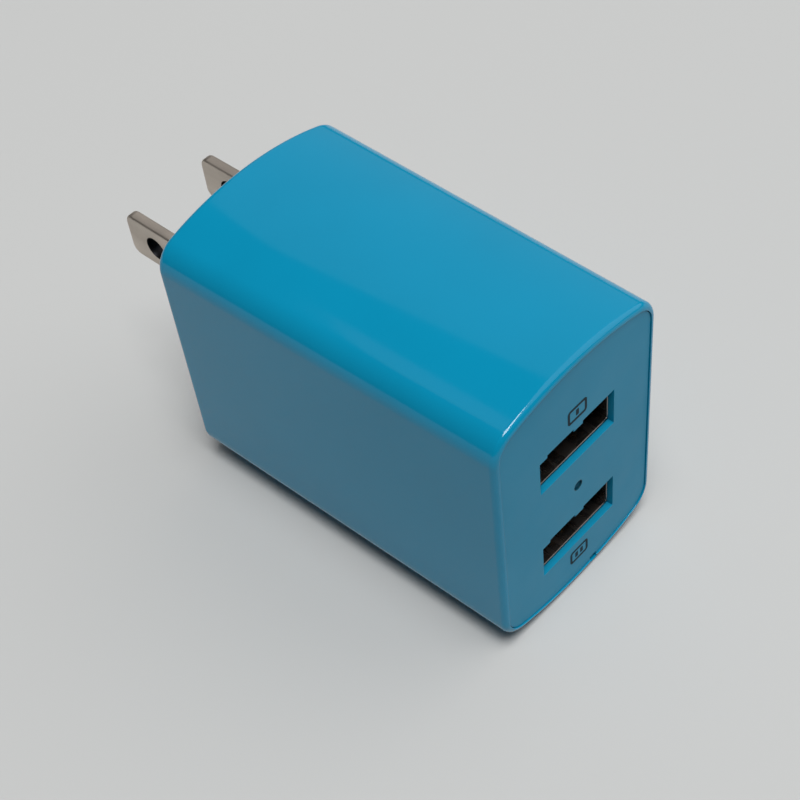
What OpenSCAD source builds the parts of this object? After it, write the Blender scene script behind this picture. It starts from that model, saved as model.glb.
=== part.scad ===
// USB wall charger with a two-blade folding plug and two USB-A ports.
// Millimetres. X runs along the ports, Y points out of the wall side, Z is up.
// The origin is the centre of the rear (wall) face.

/* [Case] */
// Width of the case at the rear, along X
case_w = 29.2; // [24:0.1:36]
// Height of the flat sides at the rear, along Z
side_h = 32.7; // [26:0.1:40]
// How far the top and the bottom bulge above the flat sides
bulge = 2.85; // [0.5:0.05:5]
// Width of the flat strip along the middle of the top and the bottom
flat_w = 8.0; // [1:0.5:12]
// Length of the case without the blades, along Y
case_l = 48.5; // [40:0.1:60]
// Radius of the four long edges
edge_r = 3.8; // [1:0.1:5]
// Each side wall leans in by this much towards the front
side_draft = 1.25; // [0:0.05:2]
// Rounding of the rear rim
rear_r = 1.0; // [0.4:0.1:2]
// Rounding of the front rim
front_r = 0.75; // [0.2:0.05:0.8]
// Thickness of the side walls
wall = 1.6; // [1.2:0.1:2.2]
// Thickness of the rear wall
rear_wall = 2.0; // [1.6:0.1:3]

/* [Front panel] */
// Width of the rim of the sleeve around the panel
rim_w = 0.8; // [0.5:0.05:1.2]
// Thickness of the front panel
panel_t = 2.0; // [1.4:0.1:3]
// Thickness of the lip in front of each socket
lip_t = 0.95; // [0.6:0.05:1.3]
// Gap around the panel
panel_gap = 0.08; // [0.03:0.01:0.2]
// Step from the rim of the sleeve down to the panel
panel_step = 0.15; // [0.05:0.05:0.3]
// Width of a port opening
port_w = 12.6; // [12.3:0.05:13]
// Height of a port opening
port_h = 5.5; // [5:0.05:6]
// Distance between the two ports
port_pitch = 15.0; // [12:0.1:18]
// Height of the middle of the port pair
port_z = -1.75; // [-4:0.05:4]
// Radius of the indicator hole
led_r = 0.65; // [0.4:0.05:1.5]

/* [Folding plug] */
// Height of the blades above the middle of the case
blade_z = 5.1; // [0:0.1:8]
// Length of a blade outside the rear face
blade_l = 16.0; // [15.5:0.1:18.3]
// Width of a blade
blade_w = 6.35; // [6.2:0.05:6.5]
// Thickness of a blade
blade_t = 1.5; // [1.4:0.02:1.6]
// Distance between the blades
blade_pitch = 12.7; // [12.6:0.05:12.8]
// Depth of the hinge axis behind the rear face
hinge_y = 4.0; // [3.6:0.1:5]
// Radius of the carrier barrel
barrel_r = 3.2; // [3:0.1:3.6]
// Radius of the hinge pins
hinge_pin_r = 1.2; // [0.8:0.05:1.5]
// Running gap around a hinge pin
hinge_gap = 0.05; // [0.02:0.01:0.1]
// Distance of the blade hole from the rear face
hole_y = 11.0; // [10:0.1:12.5]

/* [Hidden] */
$fn = 48;
eps = 0.01;
apex_z = side_h / 2 + bulge;
half_w = case_w / 2;
half_flat = flat_w / 2;
arc_h = ((half_w * half_w - half_flat * half_flat) / bulge + bulge) / 2;
arc_r = sqrt(arc_h * arc_h + half_flat * half_flat);
arc_z = apex_z - arc_h;
led_z = port_z;
port_zs = [port_z + port_pitch / 2, port_z - port_pitch / 2];
blade_x = blade_pitch / 2;
slot_w = 2.2;
wire_r = 0.6;
swing_r = 5.0;
tail_r = 4.6;
slot_end = blade_z - hinge_y - blade_l - 0.6;
window_h = 3.6;
barrel_x = 8.7;
cheek_x = 11.2;
cradle_back = -10.6;
panel_back = -case_l + panel_t;
shell_w = 13.14;
shell_h = 5.72;
shell_t = 0.3;
shell_front = -case_l + lip_t + 0.05;
tongue_front = shell_front + 1.9;
port_board_y = -36.2;
port_board_t = 1.2;
board_x = -8.9;
board_t = 1.0;
board_z = 14.5;
board_front = -37.5;
board_rear = -11.3;
hook_x = 5.5;

// Positions on the main board: [y, z]
in_caps = [[-16.0, -9.8], [-16.0, -0.8]];
out_cap_1 = [-30.2, -9.6];
out_cap_2 = [-30.8, -2.2];
choke_at = [-15.6, 7.0];
resistor_at = [-13.6, 12.4];
y_cap_at = [-23.4, -3.4];
opto_at = [-23.2, -10.4];
xfmr_at = [-27.2, 8.0];
cap_lead = 1.75;
lead_r = 0.3;
xfmr_pins = [for (s = [-1, 1]) for (k = [-1, 0, 1]) [xfmr_at[0] + 3.2 * k, xfmr_at[1] + 5.0 * s]];
lead_holes = concat(
    [for (c = in_caps) for (s = [-1, 1]) [c[0], c[1] + s * cap_lead]],
    [for (c = [out_cap_1, out_cap_2]) for (s = [-1, 1]) [c[0], c[1] + s * 1.4]],
    [for (s = [-1, 1]) [choke_at[0] + s * 1.6, choke_at[1]]],
    [[resistor_at[0], resistor_at[1]], [resistor_at[0] - 3.6, resistor_at[1]]],
    [for (s = [-1, 1]) [y_cap_at[0], y_cap_at[1] + s * 2.5]],
    [for (s = [-1, 1]) for (t = [-1, 1]) [opto_at[0] + t * 1.27, opto_at[1] + s * 2.5]],
    xfmr_pins);

// Half width of the case at a distance y from the rear face
function half_at(y) = half_w + side_draft * y / case_l;

// Quarter outline, end of the flat strip to side middle, moved in by d
function quarter(hw, d) =
    let (r = max(edge_r - d, 0.4), w = hw - d, br = arc_r - d, cx = w - r)
    let (a = asin(cx / (br - r)), cz = arc_z + sqrt((br - r) * (br - r) - cx * cx))
    let (s = asin(half_flat / br), e = (a - s) / 8)
    concat(
        [for (i = [0:7]) [br * sin(s + e * i), arc_z + br * cos(s + e * i)]],
        [for (i = [0:7]) let (b = a + (90 - a) * i / 7) [cx + r * sin(b), cz + r * cos(b)]]);

// Closed outline of the case section
function outline(hw, d) =
    let (q = quarter(hw, d), n = len(q) - 1)
    concat(
        [for (i = [0:n]) q[i]],
        [for (i = [n:-1:0]) [q[i][0], -q[i][1]]],
        [for (i = [0:n]) [-q[i][0], -q[i][1]]],
        [for (i = [n:-1:0]) [-q[i][0], q[i][1]]]);

// Solid through a list of [y, inset] stations, rear to front
module loft(stations) {
    rings = [for (s = stations) [for (p = outline(half_at(s[0]), s[1])) [p[0], s[0], p[1]]]];
    n = len(rings[0]);
    m = len(rings);
    polyhedron(
        points = [for (r = rings) for (p = r) p],
        faces = concat(
            [[for (i = [n - 1:-1:0]) i]],
            [[for (i = [0:n - 1]) (m - 1) * n + i]],
            [for (k = [0:m - 2]) for (i = [0:n - 1]) for (t = [0, 1])
                let (a = k * n + i, b = k * n + (i + 1) % n)
                t == 0 ? [a, b, a + n] : [b, b + n, a + n]]));
}

// Block given by its two opposite corners
module block(a, b) {
    translate([min(a[0], b[0]), min(a[1], b[1]), min(a[2], b[2])])
        cube([abs(b[0] - a[0]), abs(b[1] - a[1]), abs(b[2] - a[2])]);
}

// Round bar along X, Y
module bar_x(x0, x1, y, z, r) {
    translate([x0, y, z]) rotate([0, 90, 0]) cylinder(r = r, h = x1 - x0);
}
module bar_y(y0, y1, x, z, r) {
    translate([x, y0, z]) rotate([-90, 0, 0]) cylinder(r = r, h = y1 - y0);
}

// Flat plate across Y with the outline of the case
module section_plate(y0, y1, hw, d) {
    translate([0, y1, 0]) rotate([90, 0, 0]) linear_extrude(y1 - y0) polygon(outline(hw, d));
}

// Cut-out of one port: a plain slot with a notched upper edge
module port_cutout(z) {
    tooth = 0.4;
    w = port_w / 2;
    block([-w, -case_l - 1, z - port_h / 2], [w, panel_back + 1, z + port_h / 2 - tooth]);
    for (x = [[-0.40, -0.05], [0.07, 0.5]])
        block([x[0] * port_w, -case_l - 1, z], [x[1] * port_w, panel_back + 1, z + port_h / 2]);
}

// ---- enclosure -------------------------------------------------------------

module sleeve() {
    steps = [0, 1, 2, 3, 4];
    outer = concat(
        [for (i = steps) [-rear_r * (1 - cos(22.5 * i)), rear_r * (1 - sin(22.5 * i))]],
        [for (i = steps) [-case_l + front_r * (1 - sin(22.5 * i)), front_r * (1 - cos(22.5 * i))]]);
    color([0.10, 0.55, 0.70]) difference() {
        union() {
            difference() {
                loft(outer);
                loft([[-rear_wall, wall], [-case_l - 1, wall]]);
            }
            // guides for the main board
            for (s = [-1, 1]) for (x = [board_x - board_t - 0.7, board_x + 0.1])
                block([x, board_front, s * 13.8], [x + 0.6, board_rear - 2, s * 16.7]);
            // ledges that stop the blade cradle
            for (s = [-1, 1])
                block([s * 11.5, cradle_back, -6], [s * 13.6, -rear_wall + 0.2, -3]);
        }
        // seat of the front panel
        section_plate(-case_l - 1, panel_back, half_at(-case_l), rim_w);
        // catches of the panel hooks
        for (s = [-1, 1]) for (x = [-hook_x, hook_x])
            block([x - 2.3, panel_back + 3.0, s * 16.0], [x + 2.3, panel_back + 4.6, s * 17.9]);
        // window of the barrel and the two blade slots
        block([-barrel_x - 0.3, -rear_wall - 1, blade_z - window_h],
              [barrel_x + 0.3, 1, blade_z + window_h]);
        for (s = [-1, 1])
            block([s * blade_x - slot_w / 2, -rear_wall - 1, slot_end],
                  [s * blade_x + slot_w / 2, 1, blade_z]);
        // finger scoop across the slots
        bar_x(-10.2, 10.2, 10.6, -8.0, 12);
        // small pry notch in the lower rim
        block([2.0, -case_l - 1, -apex_z + 0.55], [3.2, -case_l + 0.8, -apex_z + 1.4]);
    }
}

module front_panel() {
    color([0.09, 0.46, 0.58]) difference() {
        union() {
            section_plate(-case_l + panel_step, panel_back, half_at(-case_l), rim_w + panel_gap);
            // hooks that hold the panel in the sleeve
            for (s = [-1, 1]) for (x = [-hook_x, hook_x]) {
                block([x - 2, panel_back - 0.5, s * 15.2], [x + 2, panel_back + 4.4, s * 16.4]);
                block([x - 2, panel_back + 3.2, s * 15.2], [x + 2, panel_back + 4.4, s * 17.1]);
            }
            // sleeve of the light pipe
            bar_y(panel_back - 0.5, panel_back + 4, 0, led_z, 2.1);
        }
        for (z = port_zs) {
            port_cutout(z);
            block([-shell_w / 2 - 0.1, -case_l + lip_t, z - shell_h / 2 - 0.1],
                  [shell_w / 2 + 0.1, panel_back + 1, z + shell_h / 2 + 0.1]);
        }
        bar_y(-case_l - 1, panel_back + 5, 0, led_z, led_r);
        bar_y(-case_l + 1.2, panel_back + 5, 0, led_z, 1.3);
        // pry notch, in line with the one in the sleeve
        block([2.0, -case_l - 1, -apex_z + 0.5], [3.2, -case_l + 0.9, -apex_z + 1.45]);
    }
}

module light_pipe() {
    color([0.75, 0.85, 0.85]) {
        bar_y(-case_l + 0.35, -case_l + 1.3, 0, led_z, led_r - 0.03);
        bar_y(-case_l + 1.25, port_board_y - 1.1, 0, led_z, 1.25);
    }
}

// ---- ports -----------------------------------------------------------------

module port_shell(z) {
    y1 = port_board_y - 0.3;
    color([0.72, 0.72, 0.70]) {
        difference() {
            block([-shell_w / 2, shell_front, z - shell_h / 2], [shell_w / 2, y1, z + shell_h / 2]);
            block([-shell_w / 2 + shell_t, shell_front - 1, z - shell_h / 2 + shell_t],
                  [shell_w / 2 - shell_t, y1 + 1, z + shell_h / 2 - shell_t]);
            // slits around the retaining fingers
            for (s = [-1, 1]) for (x = [-3.4, 3.4]) {
                for (t = [-1, 1])
                    block([x + t * 1.2 - 0.15, shell_front + 2.6, z + s * 2.4],
                          [x + t * 1.2 + 0.15, shell_front + 7.6, z + s * 3.2]);
                block([x - 1.2, shell_front + 7.3, z + s * 2.4], [x + 1.2, shell_front + 7.6, z + s * 3.2]);
            }
        }
        // fixing legs
        for (s = [-1, 1])
            block([s * (shell_w / 2), y1 - 2.0, z - 1.0],
                  [s * (shell_w / 2 - shell_t), port_board_y + port_board_t + 0.5, z + 1.0]);
    }
}

module port_insulator(z) {
    y1 = port_board_y - 0.02;
    w = shell_w / 2 - shell_t - 0.04;
    h = shell_h / 2 - shell_t - 0.04;
    color([0.09, 0.09, 0.10]) difference() {
        union() {
            block([-w, y1 - 2.2, z - h], [w, y1, z + h]);
            block([-5.55, tongue_front, z], [5.55, y1 - 1, z + 1.84]);
        }
        for (x = [-3.5, -1, 1, 3.5])
            block([x - 0.52, y1 - 3, z - 0.27], [x + 0.52, y1 + 1, z]);
    }
}

module port_contacts(z) {
    color([0.83, 0.68, 0.36]) for (x = [-3.5, -1, 1, 3.5]) {
        block([x - 0.5, tongue_front + 0.6, z - 0.25], [x + 0.5, port_board_y - 0.03, z - 0.01]);
        block([x - 0.25, port_board_y - 0.5, z - 0.25],
              [x + 0.25, port_board_y + port_board_t + 0.8, z - 0.01]);
    }
}

module port_board() {
    y1 = port_board_y + port_board_t;
    color([0.10, 0.35, 0.18]) difference() {
        union() {
            block([board_x + 0.05, port_board_y, -13.6], [10.9, y1, 13.6]);
            for (z = [-9, 6]) block([board_x - board_t - 0.5, port_board_y, z],
                                     [board_x + 0.5, y1, z + 3]);
        }
        for (z = port_zs) {
            for (s = [-1, 1])
                block([s * (shell_w / 2 + 0.08), port_board_y - 1, z - 1.1],
                      [s * (shell_w / 2 - shell_t - 0.08), y1 + 1, z + 1.1]);
            for (x = [-3.5, -1, 1, 3.5])
                bar_y(port_board_y - 1, y1 + 1, x, z - 0.13, 0.4);
        }
    }
}

module status_led() {
    color([0.80, 0.85, 0.80]) {
        block([-1.0, port_board_y - 0.45, led_z - 0.6], [1.0, port_board_y - 0.01, led_z + 0.6]);
        block([-0.6, port_board_y - 0.9, led_z - 0.5], [0.6, port_board_y - 0.44, led_z + 0.5]);
    }
}

module port_controller() {
    y = port_board_y + port_board_t;
    color([0.07, 0.07, 0.08]) {
        block([3.0, y + 0.1, -3.6], [6.0, y + 1.2, 0.1]);
        for (z = [-2.7, -1.75, -0.8]) for (x = [2.4, 5.9])
            block([x, y + 0.01, z - 0.2], [x + 0.7, y + 0.3, z + 0.2]);
    }
}

module port_resistors() {
    y = port_board_y + port_board_t;
    color([0.12, 0.12, 0.13])
        for (z = [-3.2, -1.6, 0]) block([7.6, y + 0.01, z], [9.2, y + 0.5, z + 0.8]);
}

// ---- main board and what stands on it --------------------------------------

module lead(at, x1) {
    bar_x(board_x - board_t - 0.8, x1, at[0], at[1], lead_r);
}

module main_board() {
    color([0.12, 0.40, 0.20]) difference() {
        block([board_x - board_t, board_front, -board_z], [board_x, board_rear, board_z]);
        for (p = lead_holes) bar_x(board_x - board_t - 1, board_x + 1, p[0], p[1], lead_r + 0.1);
        for (z = [-9, 6])
            block([board_x - board_t - 1, port_board_y - 0.08, z - 0.1],
                  [board_x + 1, port_board_y + port_board_t + 0.08, z + 3.1]);
        // isolation slot under the transformer
        block([board_x - 2, -24.6, 4], [board_x + 1, -23.4, 10]);
    }
}

// Radial electrolytic capacitor standing on the board
module capacitor(at, r, h, pitch, tint) {
    x0 = board_x + 0.3;
    color(tint) {
        difference() {
            bar_x(x0, x0 + h, at[0], at[1], r);
            // crimp groove and the scored top
            translate([x0 + 1.6, at[0], at[1]]) rotate([0, 90, 0])
                rotate_extrude() translate([r, 0]) circle(r = 0.35, $fn = 16);
            for (a = [0, 60, 120]) translate([x0 + h, at[0], at[1]]) rotate([a, 0, 0])
                cube([0.3, 0.25, 1.3 * r], center = true);
        }
        for (s = [-1, 1]) lead([at[0], at[1] + s * pitch], x0 + 0.2);
    }
}
module input_capacitor_lower() { capacitor(in_caps[0], 4.0, 13.5, cap_lead, [0.10, 0.12, 0.20]); }
module input_capacitor_upper() { capacitor(in_caps[1], 4.0, 13.5, cap_lead, [0.10, 0.12, 0.20]); }
module output_capacitor_large() { capacitor(out_cap_1, 4.0, 12.0, 1.4, [0.10, 0.25, 0.20]); }
module output_capacitor_small() { capacitor(out_cap_2, 3.1, 11.0, 1.4, [0.10, 0.25, 0.20]); }

module filter_choke() {
    x0 = board_x + 0.3;
    color([0.20, 0.18, 0.17]) {
        bar_x(x0, x0 + 1.2, choke_at[0], choke_at[1], 3.2);
        bar_x(x0 + 1.1, x0 + 6.9, choke_at[0], choke_at[1], 2.7);
        bar_x(x0 + 6.8, x0 + 8.0, choke_at[0], choke_at[1], 3.2);
        for (s = [-1, 1]) lead([choke_at[0] + s * 1.6, choke_at[1]], x0 + 0.2);
    }
}

module fusible_resistor() {
    x0 = board_x + 1.2;
    y = resistor_at[0];
    z = resistor_at[1];
    color([0.62, 0.72, 0.62]) {
        bar_x(x0, x0 + 1.4, y, z, 1.5);
        bar_x(x0 + 1.3, x0 + 6.2, y, z, 1.3);
        bar_x(x0 + 6.1, x0 + 7.5, y, z, 1.5);
        lead([y, z], x0 + 0.2);
        // far lead, bent back to the board
        bar_x(x0 + 7.4, x0 + 8.4, y, z, lead_r);
        translate([x0 + 8.3, y, z]) sphere(r = lead_r);
        bar_y(y - 3.6, y, x0 + 8.3, z, lead_r);
        translate([x0 + 8.3, y - 3.6, z]) sphere(r = lead_r);
        lead([y - 3.6, z], x0 + 8.3);
    }
}

module safety_capacitor() {
    r = 3.4;
    x = board_x + 1.4 + r;
    color([0.15, 0.35, 0.65]) {
        bar_y(y_cap_at[0] - 1.2, y_cap_at[0] + 1.2, x, y_cap_at[1], r);
        for (s = [-1, 1]) lead([y_cap_at[0], y_cap_at[1] + s * 2.5], x - 1);
    }
}

module optocoupler() {
    x0 = board_x + 0.5;
    color([0.10, 0.10, 0.11]) {
        block([x0, opto_at[0] - 2.3, opto_at[1] - 1.9], [x0 + 3.4, opto_at[0] + 2.3, opto_at[1] + 1.9]);
        for (s = [-1, 1]) for (t = [-1, 1]) {
            block([x0 + 1.5, opto_at[0] + t * 1.27 - 0.4, opto_at[1] + s * 1.8],
                  [x0 + 1.8, opto_at[0] + t * 1.27 + 0.4, opto_at[1] + s * 2.9]);
            lead([opto_at[0] + t * 1.27, opto_at[1] + s * 2.5], x0 + 1.7);
        }
    }
}

// Chip on the solder side of the main board
module chip(y, z, ly, lz, h, pins, tint) {
    x1 = board_x - board_t - 0.01;
    color(tint) {
        block([x1 - h, y - ly / 2, z - lz / 2], [x1 - 0.1, y + ly / 2, z + lz / 2]);
        for (s = [-1, 1]) for (k = [0:pins - 1])
            block([x1 - 0.35, y + (k - (pins - 1) / 2) * ly / pins - 0.2, z + s * (lz / 2 - 0.2)],
                  [x1, y + (k - (pins - 1) / 2) * ly / pins + 0.2, z + s * (lz / 2 + 0.7)]);
    }
}
module bridge_rectifier() { chip(-14.2, -5.3, 4.6, 3.8, 1.4, 2, [0.08, 0.08, 0.09]); }
module power_controller() { chip(-19.85, -4.4, 4.9, 3.9, 1.4, 4, [0.08, 0.08, 0.09]); }
module output_diode() { chip(-33.0, 8.0, 3.4, 3.8, 1.1, 2, [0.08, 0.08, 0.09]); }

module chip_resistors() {
    x1 = board_x - board_t - 0.01;
    color([0.12, 0.12, 0.13]) for (p = [[-27.0, -7.6], [-27.0, -5.2], [-20.6, 1.4], [-17.0, 3.4]])
        block([x1 - 0.5, p[0] - 1.0, p[1] - 0.6], [x1, p[0] + 1.0, p[1] + 0.6]);
}

module insulating_sheet() {
    color([0.90, 0.88, 0.78]) block([-11.95, -36.4, -13.2], [-11.7, -12.2, 13.2]);
}

// ---- transformer -----------------------------------------------------------

core_x = board_x + 3.0;
core_w = 13.2;
core_half = 5.2;
core_t = 6.0;
leg_w = 2.3;

// One E-shaped ferrite half: back at x0, legs reaching d * core_half
module e_core(x0, d) {
    y = xfmr_at[0];
    z = xfmr_at[1];
    x1 = x0 + d * core_half;
    block([x0, y - core_w / 2, z - core_t / 2], [x0 + d * 2.0, y + core_w / 2, z + core_t / 2]);
    for (s = [-1, 1])
        block([x0 + d * 1.9, y + s * core_w / 2, z - core_t / 2],
              [x1, y + s * (core_w / 2 - leg_w), z + core_t / 2]);
    block([x0 + d * 1.9, y - 1.5, z - core_t / 2], [x1, y + 1.5, z + core_t / 2]);
}
module transformer_core_inner() { color([0.22, 0.22, 0.23]) e_core(core_x, 1); }
module transformer_core_outer() {
    color([0.22, 0.22, 0.23]) e_core(core_x + 2 * core_half + 0.02, -1);
}

module transformer_bobbin() {
    y = xfmr_at[0];
    z = xfmr_at[1];
    x0 = core_x + 2.05;
    x1 = core_x + 2 * core_half - 2.05;
    color([0.10, 0.10, 0.10]) difference() {
        union() {
            block([x0, y - 2.1, z - 3.6], [x1, y + 2.1, z + 3.6]);
            for (x = [x0, x1 - 0.6]) block([x, y - 4.2, z - 5.8], [x + 0.6, y + 4.2, z + 5.8]);
            // pin rails beside the lower core half
            for (s = [-1, 1]) block([board_x + 0.3, y - 4.2, z + s * 3.1], [x0 + 0.1, y + 4.2, z + s * 5.8]);
        }
        block([x0 - 1, y - 1.55, z - 3.05], [x1 + 1, y + 1.55, z + 3.05]);
        for (p = xfmr_pins) bar_x(board_x, board_x + 2.4, p[0], p[1], lead_r + 0.02);
    }
}

module transformer_pins() {
    color([0.75, 0.74, 0.70]) for (p = xfmr_pins) lead(p, board_x + 2.3);
}

module transformer_winding() {
    y = xfmr_at[0];
    z = xfmr_at[1];
    x0 = core_x + 2.75;
    x1 = core_x + 2 * core_half - 2.75;
    color([0.72, 0.38, 0.18]) difference() {
        union() {
            block([x0, y - 3.8, z - 4.6], [x1, y + 3.8, z + 4.6]);
            block([x0, y - 3.1, z - 5.4], [x1, y + 3.1, z + 5.4]);
        }
        block([x0 - 1, y - 2.15, z - 3.65], [x1 + 1, y + 2.15, z + 3.65]);
    }
}

// Tape band around the joint of the two core halves
module transformer_tape() {
    y = xfmr_at[0];
    z = xfmr_at[1];
    x0 = core_x - 0.03;
    x1 = core_x + 2 * core_half + 0.05;
    color([0.85, 0.70, 0.15]) difference() {
        block([x0 - 0.15, y - core_w / 2 - 0.18, z - 2], [x1 + 0.15, y + core_w / 2 + 0.18, z + 2]);
        block([x0, y - core_w / 2 - 0.03, z - 3], [x1, y + core_w / 2 + 0.03, z + 3]);
    }
}

// ---- folding plug ----------------------------------------------------------

module blade_cradle() {
    pin_bore = hinge_pin_r + hinge_gap;
    color([0.90, 0.90, 0.88]) difference() {
        union() {
            block([-cheek_x, cradle_back, -1.2], [cheek_x, -rear_wall - 0.02, 11.4]);
            block([-8.6, -8.6, -16.2], [8.6, -rear_wall - 0.02, -1.1]);
        }
        // room for the barrel, open to the rear
        bar_x(-barrel_x - 0.25, barrel_x + 0.25, -hinge_y, blade_z, barrel_r + 0.3);
        block([-barrel_x - 0.25, -hinge_y, blade_z - window_h],
              [barrel_x + 0.25, 0, blade_z + window_h]);
        // room for each blade and its tail
        for (s = [-1, 1]) {
            bar_x(s * blade_x - slot_w / 2, s * blade_x + slot_w / 2, -hinge_y, blade_z, swing_r);
            block([s * blade_x - slot_w / 2, -hinge_y - blade_w / 2 - 0.35, slot_end],
                  [s * blade_x + slot_w / 2, 0, blade_z]);
            // pocket of the contact spring
            block([s * blade_x - 1.45, cradle_back + 1.1, blade_z - 2.4],
                  [s * blade_x + 1.45, cradle_back + 2.4, blade_z + 4.6]);
            block([s * blade_x - 1.45, cradle_back - 1, blade_z + 3.4],
                  [s * blade_x + 1.45, cradle_back + 2, blade_z + 4.0]);
        }
        // pocket of the detent leaf
        block([-2.8, -hinge_y - 4.3, blade_z - 4.9], [2.8, -hinge_y - 2, blade_z + 4.9]);
        // bearings of the hinge pins
        bar_x(-cheek_x - 1, cheek_x + 1, -hinge_y, blade_z, pin_bore);
    }
}

module contact_spring(s) {
    x = s * blade_x;
    y = -hinge_y - tail_r - 0.3;
    color([0.80, 0.58, 0.30]) {
        block([x - 1.2, y - 0.25, blade_z - 2.2], [x + 1.2, y, blade_z + 3.85]);
        block([x - 1.2, cradle_back - 2.0, blade_z + 3.6], [x + 1.2, y, blade_z + 3.85]);
    }
}
module contact_spring_left() { contact_spring(-1); }
module contact_spring_right() { contact_spring(1); }

module detent_spring() {
    y = -hinge_y - barrel_r - 0.35;
    color([0.70, 0.70, 0.70]) {
        block([-2.5, y - 0.25, blade_z - 4.6], [2.5, y, blade_z + 4.6]);
        for (s = [-1, 1])
            block([-2.5, y - 0.6, blade_z + s * 4.6], [2.5, y, blade_z + s * 4.35]);
    }
}

// Outline of a blade, drawn with the length along +X and the width along +Y
module blade_profile() {
    tip_r = 1.3;
    h = blade_w / 2;
    square_end = -2.2;
    translate([square_end, -h]) square([blade_l - tip_r - square_end, blade_w]);
    translate([blade_l - tip_r - eps, -h + tip_r]) square([tip_r + eps, blade_w - 2 * tip_r]);
    for (s = [-1, 1]) translate([blade_l - tip_r, s * (h - tip_r)]) circle(r = tip_r);
    translate([-hinge_y - tail_r, -1.6]) square([hinge_y + tail_r + square_end + 1, 3.2]);
}

// Blade with broken edges and a nose that thins towards the tip
module blade_blank(x) {
    ch = 0.35;
    nose = [0.7, 0.38];
    h = blade_w / 2;
    t = blade_t / 2;
    intersection() {
        translate([x - t, 0, blade_z]) multmatrix([[0, 0, 1, 0], [1, 0, 0, 0], [0, 1, 0, 0]])
            linear_extrude(blade_t) blade_profile();
        translate([x, blade_l + 1, blade_z]) rotate([90, 0, 0]) linear_extrude(blade_l + 12)
            polygon([[-t, -h + ch], [-t + ch, -h], [t - ch, -h], [t, -h + ch],
                     [t, h - ch], [t - ch, h], [-t + ch, h], [-t, h - ch]]);
        translate([x, 0, blade_z - 6]) linear_extrude(12)
            polygon([[-t - 1, -12], [t + 1, -12], [t + 1, blade_l - 2], [t, blade_l - nose[0]],
                     [t - nose[1], blade_l], [-t + nose[1], blade_l], [-t, blade_l - nose[0]],
                     [-t - 1, blade_l - 2]]);
        union() {
            block([x - 2, -hinge_y, blade_z - 5], [x + 2, blade_l + 1, blade_z + 5]);
            bar_x(x - 2, x + 2, -hinge_y, blade_z, tail_r);
        }
    }
}
module blade(x) {
    color([0.60, 0.57, 0.53]) difference() {
        blade_blank(x);
        bar_x(x - 2, x + 2, hole_y, blade_z, 1.6);
    }
}
module blade_left() { blade(-blade_x); }
module blade_right() { blade(blade_x); }

module blade_carrier() {
    color([0.88, 0.88, 0.86]) difference() {
        union() {
            bar_x(-barrel_x, barrel_x, -hinge_y, blade_z, barrel_r);
            bar_x(-cheek_x + 0.3, cheek_x - 0.3, -hinge_y, blade_z, hinge_pin_r);
        }
        // flats the detent leaf rests on, open and folded
        block([-3, -hinge_y - 4, blade_z - 4], [3, -hinge_y - barrel_r + 0.35, blade_z + 4]);
        block([-3, -hinge_y - 4, blade_z - 4], [3, -hinge_y + 4, blade_z - barrel_r + 0.35]);
        blade_blank(-blade_x);
        blade_blank(blade_x);
    }
}

// Insulated lead from a contact spring to the main board
module lead_wire(s) {
    x = s * blade_x;
    y = cradle_back - 1.6;
    z = blade_z + 3.6 - 0.62;
    color(s < 0 ? [0.75, 0.12, 0.10] : [0.10, 0.10, 0.12]) {
        if (s < 0) {
            bar_x(board_x + 0.05, x + 1.0, y + 0.4, z, wire_r);
        } else {
            bar_y(y - 7.4, y + 1.0, x, z, wire_r);
            translate([x, y - 7.4, z]) sphere(r = wire_r);
            translate([x, y - 7.4, z]) cylinder(r = wire_r, h = 12.0 - z);
            translate([x, y - 7.4, 12.0]) sphere(r = wire_r);
            bar_x(board_x + 0.05, x, y - 7.4, 12.0, wire_r);
        }
    }
}
module lead_wire_left() { lead_wire(-1); }
module lead_wire_right() { lead_wire(1); }

module port_shell_upper() { port_shell(port_zs[0]); }
module port_shell_lower() { port_shell(port_zs[1]); }
module port_insulator_upper() { port_insulator(port_zs[0]); }
module port_insulator_lower() { port_insulator(port_zs[1]); }
module port_contacts_upper() { port_contacts(port_zs[0]); }
module port_contacts_lower() { port_contacts(port_zs[1]); }

sleeve();
front_panel();
light_pipe();
status_led();
port_board();
port_shell_upper();
port_shell_lower();
port_insulator_upper();
port_insulator_lower();
port_contacts_upper();
port_contacts_lower();
port_controller();
port_resistors();
main_board();
transformer_core_inner();
transformer_core_outer();
transformer_bobbin();
transformer_winding();
transformer_tape();
transformer_pins();
input_capacitor_lower();
input_capacitor_upper();
output_capacitor_large();
output_capacitor_small();
filter_choke();
fusible_resistor();
bridge_rectifier();
safety_capacitor();
optocoupler();
power_controller();
output_diode();
chip_resistors();
insulating_sheet();
lead_wire_left();
lead_wire_right();
blade_cradle();
contact_spring_left();
contact_spring_right();
detent_spring();
blade_carrier();
blade_left();
blade_right();
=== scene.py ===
"""USB wall charger with a folding two-blade plug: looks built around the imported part."""
import bpy
import bmesh
import math
from mathutils import Matrix, Vector


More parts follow.
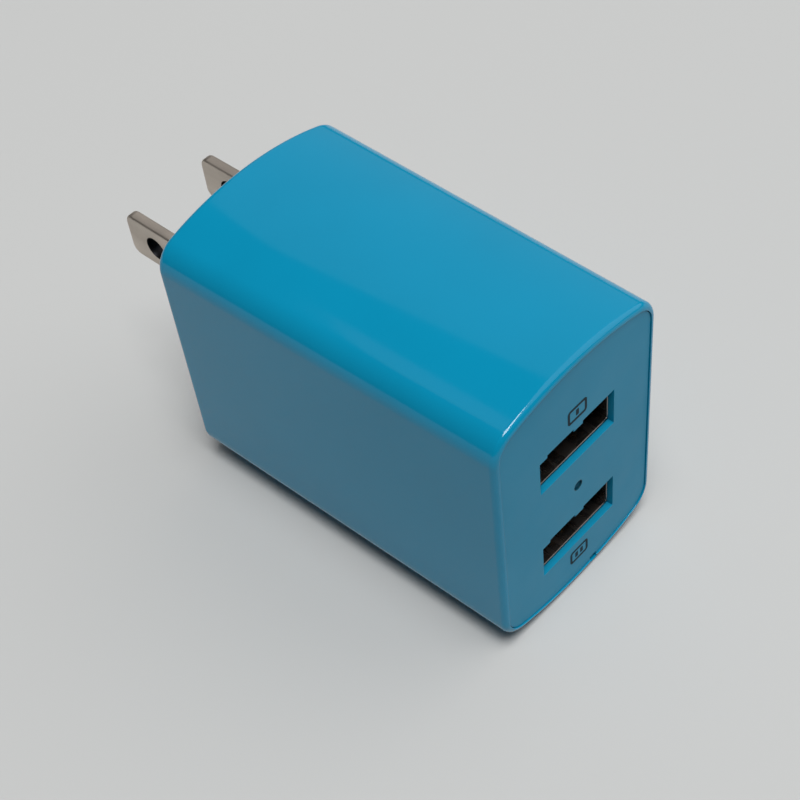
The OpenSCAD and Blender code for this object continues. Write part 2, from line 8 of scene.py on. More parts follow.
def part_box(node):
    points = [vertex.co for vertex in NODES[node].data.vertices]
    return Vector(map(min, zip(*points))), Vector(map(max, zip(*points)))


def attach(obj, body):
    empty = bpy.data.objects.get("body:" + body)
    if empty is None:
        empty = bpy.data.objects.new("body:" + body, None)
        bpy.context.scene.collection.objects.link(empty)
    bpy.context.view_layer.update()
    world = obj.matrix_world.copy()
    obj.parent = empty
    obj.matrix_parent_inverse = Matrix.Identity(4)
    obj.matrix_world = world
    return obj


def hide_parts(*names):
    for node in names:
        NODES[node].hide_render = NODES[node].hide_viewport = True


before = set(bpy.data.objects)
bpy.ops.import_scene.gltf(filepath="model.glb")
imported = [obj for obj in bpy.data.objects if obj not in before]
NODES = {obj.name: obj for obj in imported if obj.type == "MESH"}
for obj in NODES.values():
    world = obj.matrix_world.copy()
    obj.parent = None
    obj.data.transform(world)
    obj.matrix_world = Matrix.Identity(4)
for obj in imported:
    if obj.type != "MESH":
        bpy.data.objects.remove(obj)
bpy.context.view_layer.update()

MM = 0.001
MERGE_DIST = 1e-7
SIDES = (-1, 1)


# ---- places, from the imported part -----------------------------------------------
def middle(node, axis):
    """Middle of a node's box along an axis: 0 is X, 1 is Y and 2 is Z."""
    low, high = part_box(node)
    return (low[axis] + high[axis]) / 2


case_lo, case_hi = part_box("sleeve")
CASE_L = case_hi[1] - case_lo[1]
HALF_H = case_hi[2]
FRONT = case_lo[1]
FLOOR_Z = case_lo[2]
CENTRE = Vector((0, -CASE_L / 2, 0))
PANEL_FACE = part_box("front_panel")[0][1]
BLADE_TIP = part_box("blade_left")[1][1]
HINGE = Vector((0, middle("blade_carrier", 1), middle("blade_carrier", 2)))
PORT_Z = [middle("port_shell_upper", 2), middle("port_shell_lower", 2)]
LED_Z = (PORT_Z[0] + PORT_Z[1]) / 2

# ---- sizes of the case ----------------------------------------------------------
HALF_W = 14.6 * MM
BULGE = 2.85 * MM
EDGE_R = 3.8 * MM
LEAST_R = 0.4 * MM
DRAFT = 1.25 * MM
REAR_R = 1.0 * MM
FRONT_R = 0.75 * MM
WALL = 1.6 * MM
REAR_WALL = 2.0 * MM
RIM_W = 0.8 * MM
ARC_R = (HALF_W ** 2 + BULGE ** 2) / (2 * BULGE)
ARC_Z = HALF_H - ARC_R

# ---- sizes of the front panel ---------------------------------------------------
PANEL_T = 2.0 * MM
PANEL_GAP = 0.08 * MM
PANEL_BACK = FRONT + PANEL_T
LIP_T = 0.95 * MM
HOOK_X = 5.5 * MM
PORT_W = 12.6 * MM
PORT_H = 5.5 * MM
POCKET_HALF_W = 6.67 * MM
POCKET_HALF_H = 2.96 * MM
LED_R = 0.65 * MM
NOTCH_X = 2.6 * MM
NOTCH_Z = -HALF_H + 0.975 * MM

# ---- sizes of the blades --------------------------------------------------------
BLADE_X = 6.35 * MM
HOLE_Y = 11.0 * MM
HOLE_R = 1.6 * MM


# ---- mesh helpers ---------------------------------------------------------------
def new_object(name, bm):
    mesh = bpy.data.meshes.new(name)
    bm.to_mesh(mesh)
    bm.free()
    obj = bpy.data.objects.new(name, mesh)
    bpy.context.scene.collection.objects.link(obj)
    return obj


def apply_modifiers(obj):
    graph = bpy.context.evaluated_depsgraph_get()
    mesh = bpy.data.meshes.new_from_object(obj.evaluated_get(graph))
    obj.modifiers.clear()
    old = obj.data
    obj.data = mesh
    bpy.data.meshes.remove(old)


def round_edges(obj, width, segments=3, degrees=40):
    """Rounds the edges sharper than degrees and keeps flat faces flat in the shading."""
    for face in obj.data.polygons:
        face.use_smooth = True
    mod = obj.modifiers.new("bevel", "BEVEL")
    mod.width = width
    mod.segments = segments
    mod.limit_method = "ANGLE"
    mod.angle_limit = math.radians(degrees)
    mod.use_clamp_overlap = True
    mod.miter_outer = "MITER_ARC"
    weighted = obj.modifiers.new("weighted", "WEIGHTED_NORMAL")
    weighted.weight = 80
    apply_modifiers(obj)


def stand_for(obj, node, finish, body):
    """Puts a finished piece in the place of a CAD node."""
    obj.data.materials.clear()
    obj.data.materials.append(finish)
    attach(obj, body)
    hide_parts(node)


def soften(node, name, width, finish, body, segments=2):
    """A copy of a CAD node with small rounded edges, which stands for it."""
    bm = bmesh.new()
    bm.from_mesh(NODES[node].data)
    bmesh.ops.remove_doubles(bm, verts=bm.verts, dist=MERGE_DIST)
    obj = new_object(name, bm)
    round_edges(obj, width, segments)
    stand_for(obj, node, finish, body)


def boolean(obj, tool, operation="DIFFERENCE"):
    """Cuts the tool from the object or adds it, and removes the tool."""
    mod = obj.modifiers.new("cut", "BOOLEAN")
    mod.operation = operation
    mod.solver = "EXACT"
    mod.object = tool
    apply_modifiers(obj)
    mesh = tool.data
    bpy.data.objects.remove(tool)
    bpy.data.meshes.remove(mesh)


def rectangle(x0, z0, x1, z1):
    return [(x0, z0), (x1, z0), (x1, z1), (x0, z1)]


def circle(r, steps=48):
    angles = [math.tau * i / steps for i in range(steps)]
    return [(r * math.cos(a), r * math.sin(a)) for a in angles]


def arc(cx, cz, r, start, end, steps=10):
    """Points of an arc about (cx, cz) from start to end, in degrees."""
    angles = [math.radians(start + (end - start) * i / steps) for i in range(steps + 1)]
    return [(cx + r * math.cos(a), cz + r * math.sin(a)) for a in angles]


def rounded_rect(half_w, half_h, r, steps=6):
    """Rectangle about the origin with round corners."""
    x = half_w - r
    z = half_h - r
    corners = ((x, z, 0), (-x, z, 90), (-x, -z, 180), (x, -z, 270))
    return [point for cx, cz, start in corners for point in arc(cx, cz, r, start, start + 90, steps)]


def join_rings(bm, rings):
    """Faces between each closed ring of vertices and the next."""
    count = len(rings[0])
    for a, b in zip(rings, rings[1:]):
        for i in range(count):
            j = (i + 1) % count
            bm.faces.new((a[i], a[j], b[j], b[i]))


def prism(points, start, end, x0=0.0, z0=0.0, along="Y"):
    """Outline in X and Z extruded along Y, or in Y and Z extruded along X."""
    bm = bmesh.new()
    if along == "Y":
        rings = [[bm.verts.new((x0 + x, y, z0 + z)) for x, z in points] for y in (start, end)]
    else:
        rings = [[bm.verts.new((x, y, z)) for y, z in points] for x in (start, end)]
    join_rings(bm, rings)
    bm.faces.new(list(reversed(rings[0])))
    bm.faces.new(rings[1])
    bmesh.ops.recalc_face_normals(bm, faces=bm.faces)
    return new_object("cutter", bm)


def lathe(name, profile, centre, steps=48):
    """Turns a list of [y, radius] about an axis along Y; the ends have radius 0."""
    bm = bmesh.new()
    rings = []
    for y, r in profile:
        outline = circle(r, steps) if r else [(0, 0)]
        rings.append([bm.verts.new((centre.x + x, y, centre.z + z)) for x, z in outline])
    for a, b in zip(rings, rings[1:]):
        for i in range(steps):
            j = (i + 1) % steps
            if len(a) == 1:
                bm.faces.new((a[0], b[i], b[j]))
            elif len(b) == 1:
                bm.faces.new((a[i], b[0], a[j]))
            else:
                bm.faces.new((a[i], b[i], b[j], a[j]))
    bmesh.ops.recalc_face_normals(bm, faces=bm.faces)
    return new_object(name, bm)


def blocks(obj, boxes, operation):
    """Adds or cuts boxes given as [x0, x1, y0, y1, z0, z1] in millimetres."""
    for x0, x1, y0, y1, z0, z1 in boxes:
        tool = prism(rectangle(x0 * MM, z0 * MM, x1 * MM, z1 * MM), y0 * MM, y1 * MM)
        boolean(obj, tool, operation)


def span(side, near, far):
    """The stretch from near to far on one side of the middle, its lower end first."""
    return sorted((side * near, side * far))


# ---- the sleeve -----------------------------------------------------------------
def half_at(y):
    """Half width of the case at a distance y, where the front is narrower."""
    return HALF_W + DRAFT * y / CASE_L


def section(y, inset, arc_steps=22, corner_steps=14):
    """Outline of the case at y, moved in by inset, from the middle of the top round."""
    r = max(EDGE_R - inset, LEAST_R)
    big = ARC_R - inset
    cx = half_at(y) - inset - r
    a = math.asin(cx / (big - r))
    cz = ARC_Z + math.sqrt((big - r) ** 2 - cx ** 2)
    bulge = [a * i / arc_steps for i in range(arc_steps)]
    corner = [a + (math.pi / 2 - a) * i / corner_steps for i in range(corner_steps + 1)]
    quarter = [(big * math.sin(b), ARC_Z + big * math.cos(b)) for b in bulge]
    quarter += [(cx + r * math.sin(b), cz + r * math.cos(b)) for b in corner]
    outline = quarter + [(x, -z) for x, z in reversed(quarter)]
    outline += [(-x, -z) for x, z in quarter[1:]]
    outline += [(-x, z) for x, z in reversed(quarter[1:])]
    return outline


def sleeve_shell():
    """Open shell with round rims, a seat for the panel and a closed rear wall."""
    steps = 8
    turn = [math.radians(90 * i / steps) for i in range(steps + 1)]
    stations = [(-REAR_R * (1 - math.cos(a)), REAR_R * (1 - math.sin(a))) for a in turn]
    stations += [(-CASE_L * t, 0.0) for t in (0.1, 0.3, 0.5, 0.7, 0.9)]
    stations += [(-CASE_L + FRONT_R * (1 - math.sin(a)), FRONT_R * (1 - math.cos(a))) for a in turn]
    lead_in_w = 0.02 * MM
    lead_in_depth = 0.03 * MM
    stations += [(-CASE_L, RIM_W - lead_in_w), (-CASE_L + lead_in_depth, RIM_W)]
    stations += [(-CASE_L + PANEL_T, RIM_W), (-CASE_L + PANEL_T, WALL), (-REAR_WALL, WALL)]
    bm = bmesh.new()
    rings = [[bm.verts.new((x, y, z)) for x, z in section(y, inset)] for y, inset in stations]
    join_rings(bm, rings)
    bm.faces.new(rings[0])
    bm.faces.new(list(reversed(rings[-1])))
    bmesh.ops.recalc_face_normals(bm, faces=bm.faces)
    return new_object("case_sleeve", bm)


def fit_out(sleeve):
    """Guides of the main board, ledges of the cradle and catches of the panel hooks, in mm."""
    guide_t = 0.6
    guide_xs = (-10.6, -8.8)
    guide_y = (-37.5, -13.3)
    guide_z = (13.8, 16.7)
    guides = [[x, x + guide_t, *guide_y, *span(side, *guide_z)] for side in SIDES for x in guide_xs]
    ledge_x = (11.5, 13.6)
    ledge_y = (-10.6, -1.8)
    ledge_z = (-6, -3)
    ledges = [[*span(side, *ledge_x), *ledge_y, *ledge_z] for side in SIDES]
    blocks(sleeve, guides + ledges, "UNION")
    back = PANEL_BACK / MM
    catch_xs = (-HOOK_X / MM, HOOK_X / MM)
    catch_half = 2.3
    catch_y = (back + 3.0, back + 4.6)
    catch_z = (16.0, 17.9)
    catches = [[x - catch_half, x + catch_half, *catch_y, *span(side, *catch_z)]
               for side in SIDES for x in catch_xs]
    blocks(sleeve, catches, "DIFFERENCE")


def cut_rear_wall(sleeve):
    """Window of the barrel, slots of the folded blades and the finger scoop across them."""
    inside = -3 * MM
    outside = 1 * MM
    window = rounded_rect(half_w=9.0 * MM, half_h=3.6 * MM, r=0.5 * MM)
    boolean(sleeve, prism(window, inside, outside, 0, HINGE.z))
    slot_end = HINGE.z + HINGE.y - BLADE_TIP - 0.6 * MM
    slot_half = (HINGE.z - slot_end) / 2
    slot = rounded_rect(half_w=1.1 * MM, half_h=slot_half, r=0.4 * MM)
    for side in SIDES:
        boolean(sleeve, prism(slot, inside, outside, side * BLADE_X, HINGE.z - slot_half))
    scoop_r = 12 * MM
    scoop_w = 20.4 * MM
    scoop_at = (0, 10.6 * MM, -8 * MM)
    bm = bmesh.new()
    bmesh.ops.create_cone(bm, segments=160, radius1=scoop_r, radius2=scoop_r, depth=scoop_w, cap_ends=True)
    bmesh.ops.rotate(bm, verts=bm.verts, matrix=Matrix.Rotation(math.pi / 2, 3, "Y"))
    bmesh.ops.translate(bm, verts=bm.verts, vec=scoop_at)
    boolean(sleeve, new_object("cutter", bm))


def cut_notch(obj, half_h, start, depth):
    """The small notch at the lower edge, which crosses the joint of sleeve and panel."""
    outline = rounded_rect(half_w=0.6 * MM, half_h=half_h, r=0.15 * MM)
    boolean(obj, prism(outline, start, FRONT + depth, NOTCH_X, NOTCH_Z))


def build_sleeve():
    sleeve = sleeve_shell()
    fit_out(sleeve)
    cut_rear_wall(sleeve)
    cut_notch(sleeve, half_h=0.425 * MM, start=FRONT - MM, depth=0.8 * MM)
    round_edges(sleeve, 0.14 * MM, degrees=38)
    return sleeve


# ---- the front panel ------------------------------------------------------------
def add_hooks(panel):
    """Four hooks behind the plate, each a tongue with a barb near its end, in mm."""
    back = PANEL_BACK / MM
    half_width = 2
    length = 4.4
    root_z = 15.2
    tongue = (-0.5, 16.4)
    barb = (3.2, 17.1)
    hooks = []
    for x in (-HOOK_X / MM, HOOK_X / MM):
        for side in SIDES:
            for start, tip_z in (tongue, barb):
                hooks.append([x - half_width, x + half_width, back + start, back + length,
                              *span(side, root_z, tip_z)])
    blocks(panel, hooks, "UNION")


def port_opening():
    """Outline of an opening, with a tooth and a corner step below its upper edge."""
    w = PORT_W / 2
    h = PORT_H / 2
    low = h - 0.4 * MM
    tooth_right = 0.07 * PORT_W
    tooth_left = -0.05 * PORT_W
    step = -0.40 * PORT_W
    return [(-w, -h), (w, -h), (w, h), (tooth_right, h), (tooth_right, low), (tooth_left, low),
            (tooth_left, h), (step, h), (step, low), (-w, low)]


def build_panel():
    """Front plate with hooks, two openings with socket pockets, and the indicator hole."""
    before = PANEL_FACE - MM
    obj = prism(section(FRONT, RIM_W + PANEL_GAP), PANEL_FACE, PANEL_BACK)
    obj.name = "panel_front"
    add_hooks(obj)
    boss_r = 2.1 * MM
    boss_root = PANEL_BACK - 0.5 * MM
    boss_end = PANEL_BACK + 4 * MM
    boss = prism(circle(boss_r), boss_root, boss_end, 0, LED_Z)
    boolean(obj, boss, "UNION")
    opening = port_opening()
    pocket = rectangle(-POCKET_HALF_W, -POCKET_HALF_H, POCKET_HALF_W, POCKET_HALF_H)
    for z in PORT_Z:
        boolean(obj, prism(opening, before, PANEL_BACK + MM, 0, z))
        boolean(obj, prism(pocket, FRONT + LIP_T, PANEL_BACK + MM, 0, z))
    past_boss = PANEL_BACK + 5 * MM
    bore_r = 1.3 * MM
    bore_start = FRONT + 1.2 * MM
    boolean(obj, prism(circle(LED_R), before, past_boss, 0, LED_Z))
    boolean(obj, prism(circle(bore_r), bore_start, past_boss, 0, LED_Z))
    cut_notch(obj, half_h=0.475 * MM, start=before, depth=0.9 * MM)
    round_edges(obj, 0.12 * MM)
    return obj


# ---- blades and light pipe ------------------------------------------------------
def build_blade(node, name):
    """Flat blade with rounded edges, a round nose, a hole and a tail behind the hinge."""
    lo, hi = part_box(node)
    half = (hi[2] - lo[2]) / 2
    mid_z = middle(node, 2)
    nose_r = 1.3 * MM
    nose_y = hi[1] - nose_r
    neck_y = -2.2 * MM
    tail_half = 1.6 * MM
    tail_r = 4.6 * MM
    tail_angle = math.degrees(math.asin(tail_half / tail_r))
    outline = [(neck_y, mid_z - tail_half), (neck_y, mid_z - half)]
    outline += arc(nose_y, mid_z - half + nose_r, nose_r, -90, 0)
    outline += arc(nose_y, mid_z + half - nose_r, nose_r, 0, 90)
    outline += [(neck_y, mid_z + half), (neck_y, mid_z + tail_half)]
    outline += arc(HINGE.y, HINGE.z, tail_r, 180 - tail_angle, 180 + tail_angle, steps=8)
    obj = prism(outline, lo[0], hi[0], along="X")
    obj.name = name
    round_edges(obj, 0.36 * MM, segments=4, degrees=60)
    hole = [(HOLE_Y + y, mid_z + z) for y, z in circle(HOLE_R, steps=64)]
    boolean(obj, prism(hole, lo[0] - MM, hi[0] + MM, along="X"))
    round_edges(obj, 0.07 * MM, segments=2, degrees=60)
    return obj


def build_light_pipe():
    """Stepped clear rod with a domed tip that ends just inside the panel."""
    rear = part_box("light_pipe")[1][1]
    centre = Vector((middle("light_pipe", 0), 0, middle("light_pipe", 2)))
    tip_r = 0.62 * MM
    rod_r = 1.25 * MM
    chamfer = 0.1 * MM
    dome_h = 0.16 * MM
    step = FRONT + 1.25 * MM
    tip = PANEL_FACE + 0.10 * MM
    turn = [math.radians(degrees) for degrees in range(0, 91, 15)]
    profile = [(tip + dome_h * (1 - math.cos(a)), tip_r * math.sin(a)) for a in turn]
    profile += [(step, tip_r), (step, rod_r - chamfer), (step + chamfer, rod_r)]
    profile += [(rear - chamfer, rod_r), (rear, rod_r - chamfer), (rear, 0)]
    return lathe("indicator_pipe", profile, centre)


# ---- material helpers -----------------------------------------------------------
def material(name, color, rough, metallic=0.0, specular=0.5):
    mat = bpy.data.materials.new(name)
    mat.use_nodes = True
    bsdf = mat.node_tree.nodes["Principled BSDF"]
    bsdf.inputs["Base Color"].default_value = (*color, 1)
    bsdf.inputs["Roughness"].default_value = rough
    bsdf.inputs["Metallic"].default_value = metallic
    bsdf.inputs["Specular IOR Level"].default_value = specular
    return mat, mat.node_tree, bsdf


def noise(tree, scale, detail, stretch=(1, 1, 1), rough=0.5):
    """Noise in object space; scale is in features per metre."""
    coord = tree.nodes.new("ShaderNodeTexCoord")
    mapping = tree.nodes.new("ShaderNodeMapping")
    mapping.inputs["Scale"].default_value = stretch
    node = tree.nodes.new("ShaderNodeTexNoise")
    node.inputs["Scale"].default_value = scale
    node.inputs["Detail"].default_value = detail
    node.inputs["Roughness"].default_value = rough
    tree.links.new(coord.outputs["Object"], mapping.inputs["Vector"])
    tree.links.new(mapping.outputs["Vector"], node.inputs["Vector"])
    return node.outputs["Fac"]


def tones(color, vary):
    """Stops of a ramp from a darker to a lighter tone of one colour."""
    darker = tuple(c * (1 - vary) for c in color)
    lighter = tuple(min(1, c * (1 + vary)) for c in color)
    return [(0.3, darker), (0.7, lighter)]


def vary_color(tree, bsdf, fac, stops):
    """Base colour from a value, by a ramp with stops of (position, colour)."""
    node = tree.nodes.new("ShaderNodeValToRGB")
    elements = node.color_ramp.elements
    while len(elements) < len(stops):
        elements.new(0.5)
    for element, (position, color) in zip(elements, stops):
        element.position = position
        element.color = (*color, 1)
    tree.links.new(fac, node.inputs["Fac"])
    tree.links.new(node.outputs["Color"], bsdf.inputs["Base Color"])


def vary_rough(tree, bsdf, fac, low, high):
    """Roughness from a noise, whose values lie mostly between 0.3 and 0.7."""
    node = tree.nodes.new("ShaderNodeMapRange")
    node.inputs["From Min"].default_value = 0.3
    node.inputs["From Max"].default_value = 0.7
    node.inputs["To Min"].default_value = low
    node.inputs["To Max"].default_value = high
    tree.links.new(fac, node.inputs["Value"])
    tree.links.new(node.outputs["Result"], bsdf.inputs["Roughness"])


def bump(tree, bsdf, height, strength, distance):
    node = tree.nodes.new("ShaderNodeBump")
    node.inputs["Strength"].default_value = strength
    node.inputs["Distance"].default_value = distance
    tree.links.new(height, node.inputs["Height"])
    tree.links.new(node.outputs["Normal"], bsdf.inputs["Normal"])


def plastic(name, color, rough, vary=0.05, grain=900, grain_depth=0.004, specular=0.5, rough_vary=0.03):
    """Moulded plastic: cloudy tone, uneven gloss and a fine grain; its depth is in mm."""
    mat, tree, bsdf = material(name, color, rough, specular=specular)
    vary_color(tree, bsdf, noise(tree, scale=60, detail=4), tones(color, vary))
    vary_rough(tree, bsdf, noise(tree, scale=220, detail=5), rough - rough_vary, rough + rough_vary)
    bump(tree, bsdf, noise(tree, scale=grain, detail=2), 0.35, grain_depth * MM)
    return mat


def metal(name, color, rough, stretch=(1, 1, 1), depth=0.004):
    """Metal with fine lines along the axes that stretch makes small; depth is in mm."""
    mat, tree, bsdf = material(name, color, rough, metallic=1.0)
    lines = noise(tree, scale=500, detail=4, stretch=stretch, rough=0.6)
    vary_color(tree, bsdf, noise(tree, scale=160, detail=4), tones(color, vary=0.12))
    vary_rough(tree, bsdf, lines, rough - 0.08, rough + 0.1)
    bump(tree, bsdf, lines, 0.5, depth * MM)
    return mat


def vector_math(tree, operation, vector, value=None):
    node = tree.nodes.new("ShaderNodeVectorMath")
    node.operation = operation
    tree.links.new(vector, node.inputs[0])
    if value is not None:
        node.inputs[1].default_value = value
    return node


def paint_bore_shade(mat, centre, across, radius, color):
    """Paints shade on the wall of a round hole: a dark colour there stands in for the shade inside it;
    across has 0 along the axis.
    """
    tree = mat.node_tree
    base = tree.nodes["Principled BSDF"].inputs["Base Color"]
    plain = base.links[0].from_socket
    coord = tree.nodes.new("ShaderNodeTexCoord")
    offset = vector_math(tree, "SUBTRACT", coord.outputs["Object"], centre)
    flat = vector_math(tree, "MULTIPLY", offset.outputs["Vector"], across)
    length = vector_math(tree, "LENGTH", flat.outputs["Vector"])
    outside = tree.nodes.new("ShaderNodeMapRange")
    outside.inputs["From Min"].default_value = radius + 0.02 * MM
    outside.inputs["From Max"].default_value = radius + 0.10 * MM
    tree.links.new(length.outputs["Value"], outside.inputs["Value"])
    # Painted shade: the hole wall gets color, the painted shade colour, and the rest keeps its plain
    # colour.
    mix = tree.nodes.new("ShaderNodeMix")
    mix.data_type = "RGBA"
    mix.inputs["A"].default_value = (*color, 1)
    tree.links.new(outside.outputs["Result"], mix.inputs["Factor"])
    tree.links.new(plain, mix.inputs["B"])
    tree.links.new(mix.outputs["Result"], base)


# ---- materials ------------------------------------------------------------------
def blade_material():
    """Warm nickel with fine drawn lines; painted shade darkens the wall of the punched hole."""
    mat = metal("blade_nickel", (0.54, 0.48, 0.42), 0.46, (1, 0.08, 1), 0.004)
    # Painted shade: near-black colour on the wall of the blade hole, in place of the shade inside it.
    paint_bore_shade(mat, (0, HOLE_Y, HINGE.z), (0, 1, 1), HOLE_R, (0.016, 0.016, 0.018))
    return mat


def panel_material():
    """Satin plate; painted shade darkens the wall of the indicator hole."""
    mat = plastic("panel_satin", (0.004, 0.227, 0.385), 0.38, 0.04, 2600, 0.006, specular=0.20)
    # Painted shade: dark blue colour on the wall of the indicator hole, in place of the shade inside it.
    paint_bore_shade(mat, (0, 0, LED_Z), (1, 0, 1), LED_R, (0.002, 0.050, 0.080))
    return mat


def board_material():
    """Green solder mask over faint copper tracks."""
    mask = (0.006, 0.085, 0.030)
    track = (0.016, 0.16, 0.055)
    mat, tree, bsdf = material("board_green", (0.01, 0.12, 0.045), 0.35)
    coord = tree.nodes.new("ShaderNodeTexCoord")
    tracks = tree.nodes.new("ShaderNodeTexVoronoi")
    tracks.distance = "CHEBYCHEV"
    tracks.feature = "F2"
    tracks.inputs["Scale"].default_value = 260
    tree.links.new(coord.outputs["Object"], tracks.inputs["Vector"])
    vary_color(tree, bsdf, tracks.outputs["Distance"], [(0.0, mask), (0.44, mask), (0.50, track)])
    vary_rough(tree, bsdf, noise(tree, scale=500, detail=3), 0.28, 0.42)
    bump(tree, bsdf, tracks.outputs["Distance"], 0.25, 0.02 * MM)
    return mat


def lens_material():
    """Tinted pipe, dark while the light is off."""
    darker = (0.001, 0.048, 0.090)
    lighter = (0.002, 0.066, 0.118)
    mat, tree, bsdf = material("light_pipe", (0.002, 0.045, 0.07), 0.5, specular=0.02)
    vary_color(tree, bsdf, noise(tree, scale=400, detail=3), [(0.3, darker), (0.7, lighter)])
    vary_rough(tree, bsdf, noise(tree, scale=900, detail=3), 0.42, 0.54)
    bump(tree, bsdf, noise(tree, scale=900, detail=2), 0.3, 0.004 * MM)
    return mat


# name, colour, roughness, then for plastic: variation, grain per metre, grain depth;
# and for metal: stretch of the lines, their depth
FINISH = {
    "case": plastic("case_gloss", (0.0015, 0.235, 0.405), 0.085, 0.03, 500, 0.003,
                    specular=0.33, rough_vary=0.02),
    "shell": metal("shell_steel", (0.30, 0.27, 0.25), 0.26, (1, 0.15, 1), 0.002),
    "black": plastic("socket_black", (0.010, 0.010, 0.011), 0.42, 0.10, 1500, 0.004),
    "white": plastic("carrier_white", (0.62, 0.62, 0.58), 0.42, 0.03, 1800, 0.005),
    "gold": metal("contact_gold", (0.80, 0.52, 0.20), 0.28, (1, 0.2, 1), 0.001),
    "bronze": metal("spring_bronze", (0.66, 0.40, 0.18), 0.32, (1, 1, 0.2), 0.002),
    "spring": metal("spring_steel", (0.52, 0.52, 0.52), 0.28, (0.2, 1, 1), 0.002),
    "ferrite": plastic("ferrite", (0.030, 0.030, 0.032), 0.62, 0.20, 1400, 0.020),
    "copper": metal("copper_wire", (0.72, 0.28, 0.10), 0.34, (1, 1, 0.1), 0.010),
    "tape": plastic("tape_yellow", (0.72, 0.46, 0.04), 0.30, 0.05, 500, 0.004),
    "tin": metal("tinned_lead", (0.62, 0.62, 0.60), 0.35),
    "navy": plastic("can_navy", (0.010, 0.014, 0.045), 0.28, 0.08, 700, 0.004),
    "green": plastic("can_green", (0.008, 0.055, 0.030), 0.28, 0.08, 700, 0.004),
    "choke": plastic("choke_sleeve", (0.030, 0.026, 0.024), 0.40, 0.15, 900, 0.010),
    "resistor": plastic("resistor_lacquer", (0.25, 0.38, 0.25), 0.35, 0.08, 900, 0.010),
    "chip": plastic("chip_black", (0.014, 0.014, 0.015), 0.55, 0.15, 3000, 0.010),
    "disc": plastic("disc_blue", (0.02, 0.09, 0.36), 0.30, 0.08, 500, 0.020),
    "sheet": plastic("sheet_board", (0.66, 0.60, 0.44), 0.70, 0.06, 1200, 0.020),
    "red": plastic("wire_red", (0.45, 0.02, 0.015), 0.35, 0.05, 700, 0.006),
    "dark": plastic("wire_black", (0.015, 0.015, 0.017), 0.35, 0.08, 700, 0.006),
    "led": plastic("led_body", (0.62, 0.66, 0.60), 0.22, 0.04, 700, 0.002),
    "mark": plastic("print_dark", (0.010, 0.024, 0.034), 0.60, 0.10, 3000, 0.002, specular=0.10),
    "blade": blade_material(),
    "panel": panel_material(),
    "board": board_material(),
    "lens": lens_material(),
}

# ---- pieces that stand for CAD nodes --------------------------------------------
stand_for(build_sleeve(), "sleeve", FINISH["case"], "body")
stand_for(build_panel(), "front_panel", FINISH["panel"], "body")
for hand in ("left", "right"):
    stand_for(build_blade("blade_" + hand, "plug_blade_" + hand), "blade_" + hand, FINISH["blade"], "plug")
    soften("contact_spring_" + hand, "spring_contact_" + hand, 0.05 * MM, FINISH["bronze"], "body")
soften("blade_carrier", "plug_carrier", 0.10 * MM, FINISH["white"], "plug")
soften("blade_cradle", "plug_cradle", 0.08 * MM, FINISH["white"], "body")
for place in ("upper", "lower"):
    soften("port_shell_" + place, "socket_shell_" + place, 0.11 * MM, FINISH["shell"], "body", segments=3)
    soften("port_insulator_" + place, "socket_insulator_" + place, 0.08 * MM, FINISH["black"], "body")
    soften("port_contacts_" + place, "socket_contacts_" + place, 0.04 * MM, FINISH["gold"], "body")
stand_for(build_light_pipe(), "light_pipe", FINISH["lens"], "body")

# ---- better materials on the CAD nodes that stay --------------------------------
KEPT = {
    "status_led": "led", "port_board": "board", "port_controller": "chip", "port_resistors": "chip",
    "main_board": "board", "transformer_core_inner": "ferrite", "transformer_core_outer": "ferrite",
    "transformer_bobbin": "black", "transformer_winding": "copper", "transformer_tape": "tape",
    "transformer_pins": "tin", "input_capacitor_lower": "navy", "input_capacitor_upper": "navy",
    "output_capacitor_large": "green", "output_capacitor_small": "green", "filter_choke": "choke",
    "fusible_resistor": "resistor", "bridge_rectifier": "chip", "safety_capacitor": "disc",
    "optocoupler": "chip", "power_controller": "chip", "output_diode": "chip", "chip_resistors": "chip",
    "insulating_sheet": "sheet", "lead_wire_left": "red", "lead_wire_right": "dark",
    "detent_spring": "spring",
}
for kept_node, finish_name in KEPT.items():
    for material_slot in NODES[kept_node].material_slots:
        material_slot.material = FINISH[finish_name]

# ---- printed marks: one bar for the small port and two for the large -------------
# half width, half height and corner radius
MARK_OUTSIDE = (1.60 * MM, 1.10 * MM, 0.45 * MM)
MARK_INSIDE = (1.24 * MM, 0.74 * MM, 0.20 * MM)
MARK_BAR = (0.24 * MM, 0.45 * MM, 0.10 * MM)
BAR_PITCH = 0.9 * MM
MARK_OFFSET = 2.3 * MM


def build_mark(name, centre_z, bars):
    """A rounded frame with upright bars, printed on the panel."""
    top = PANEL_FACE - 0.015 * MM
    sunk = PANEL_FACE + 0.02 * MM
    obj = prism(rounded_rect(*MARK_OUTSIDE), top, sunk, 0, centre_z)
    obj.name = name
    boolean(obj, prism(rounded_rect(*MARK_INSIDE), top - MM, sunk + MM, 0, centre_z))
    for i in range(bars):
        x = (i - (bars - 1) / 2) * BAR_PITCH
        boolean(obj, prism(rounded_rect(*MARK_BAR), top, sunk, x, centre_z), "UNION")
    obj.data.materials.clear()
    obj.data.materials.append(FINISH["mark"])
    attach(obj, "body")


build_mark("mark_small_port", PORT_Z[0] + PORT_H / 2 + MARK_OFFSET, 1)
build_mark("mark_large_port", PORT_Z[1] - PORT_H / 2 - MARK_OFFSET, 2)


# ---- stage: floor, light, camera ------------------------------------------------
FLOOR_HALF = 1.5
FLOOR_GAP = 0.05 * MM


def build_floor():
    """Pale floor just under the part, wide enough to fill low views."""
    bm = bmesh.new()
    bmesh.ops.create_grid(bm, x_segments=1, y_segments=1, size=FLOOR_HALF)
    obj = new_object("floor", bm)
    obj.location = (0, 0, FLOOR_Z - FLOOR_GAP)
    mat = material("floor_pale", (0.50, 0.505, 0.50), 0.85, specular=0.1)[0]
    obj.data.materials.append(mat)


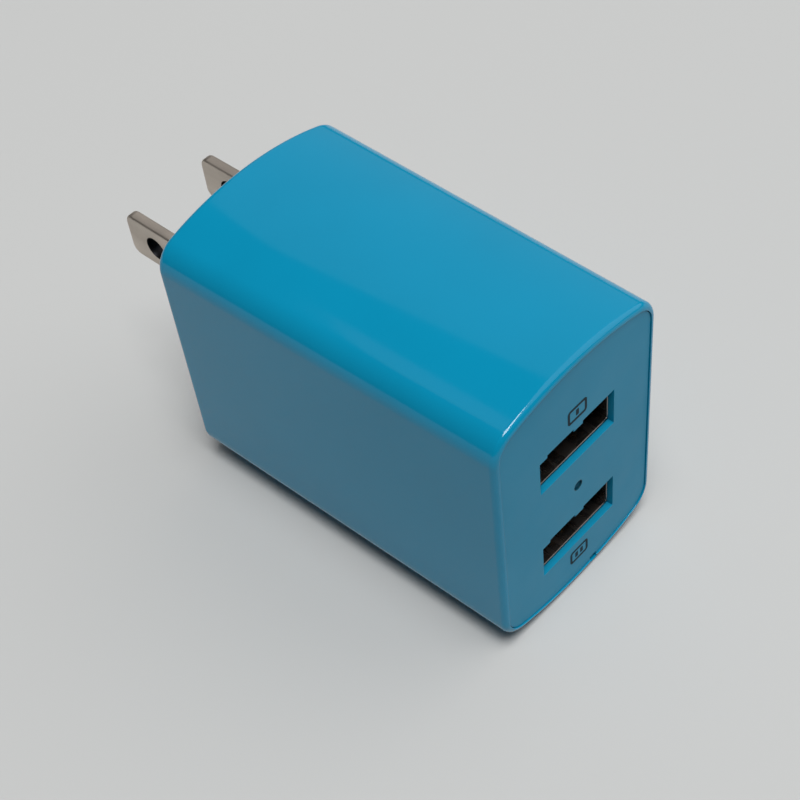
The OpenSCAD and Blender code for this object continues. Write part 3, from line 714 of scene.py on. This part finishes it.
def build_world(lighting, backdrop):
    """Dim studio for the light and the reflections, pale where the camera sees it."""
    world = bpy.data.worlds.new("studio")
    world.use_nodes = True
    tree = world.node_tree
    room = tree.nodes["Background"]
    seen = tree.nodes.new("ShaderNodeBackground")
    for node, strength in ((room, lighting), (seen, backdrop)):
        node.inputs["Color"].default_value = (1, 1, 1, 1)
        node.inputs["Strength"].default_value = strength
    path = tree.nodes.new("ShaderNodeLightPath")
    mix = tree.nodes.new("ShaderNodeMixShader")
    tree.links.new(path.outputs["Is Camera Ray"], mix.inputs["Fac"])
    tree.links.new(room.outputs["Background"], mix.inputs[1])
    tree.links.new(seen.outputs["Background"], mix.inputs[2])
    tree.links.new(mix.outputs["Shader"], tree.nodes["World Output"].inputs["Surface"])
    bpy.context.scene.world = world


def area_light(name, offset, width, height, radiance):
    """Rectangular lamp aimed at the part; radiance is what a mirror would see in it."""
    data = bpy.data.lights.new(name, "AREA")
    data.shape = "RECTANGLE"
    data.size = width
    data.size_y = height
    data.energy = radiance * math.pi * width * height
    obj = bpy.data.objects.new(name, data)
    obj.location = CENTRE + Vector(offset)
    obj.rotation_euler = (-Vector(offset)).to_track_quat("-Z", "Y").to_euler()
    bpy.context.scene.collection.objects.link(obj)


def build_camera(azimuth, elevation, roll, distance, offset, focal_px, image_px=800):
    """Camera at the given angles in degrees; offset moves it sideways and up in its own plane."""
    az = math.radians(azimuth)
    el = math.radians(elevation)
    tilt = math.radians(roll)
    back = Vector((math.sin(az) * math.cos(el), -math.cos(az) * math.cos(el), math.sin(el)))
    right = Vector((0, 0, 1)).cross(back).normalized()
    up = back.cross(right)
    cam_x = math.cos(tilt) * right + math.sin(tilt) * up
    cam_y = -math.sin(tilt) * right + math.cos(tilt) * up
    eye = CENTRE + offset[0] * cam_x + offset[1] * cam_y + back * distance
    data = bpy.data.cameras.new("camera")
    data.sensor_width = 36
    data.lens = focal_px / image_px * data.sensor_width
    data.clip_start = 0.005
    camera = bpy.data.objects.new("camera", data)
    camera.matrix_world = Matrix((*zip(cam_x, cam_y, back, eye), (0, 0, 0, 1)))
    bpy.context.scene.collection.objects.link(camera)
    bpy.context.scene.camera = camera


build_floor()
build_world(lighting=0.06, backdrop=0.52)
area_light("softbox", offset=(-0.36, -0.55, 2.70), width=1.14, height=1.30, radiance=15.4)
area_light("right_key", offset=(2.00, -1.00, 2.35), width=3.6, height=4.6, radiance=1.05)
area_light("back_panel", offset=(2.34, 1.87, 1.98), width=3.0, height=3.3, radiance=0.30)
area_light("back_strip", offset=(-0.24, 1.27, 2.64), width=0.72, height=0.60, radiance=0.36)
build_camera(azimuth=-41.9, elevation=49.164, roll=-7.983, distance=186.159 * MM,
             offset=(-1.501 * MM, -3.020 * MM), focal_px=1607.935)
bpy.context.scene.view_settings.view_transform = "Standard"
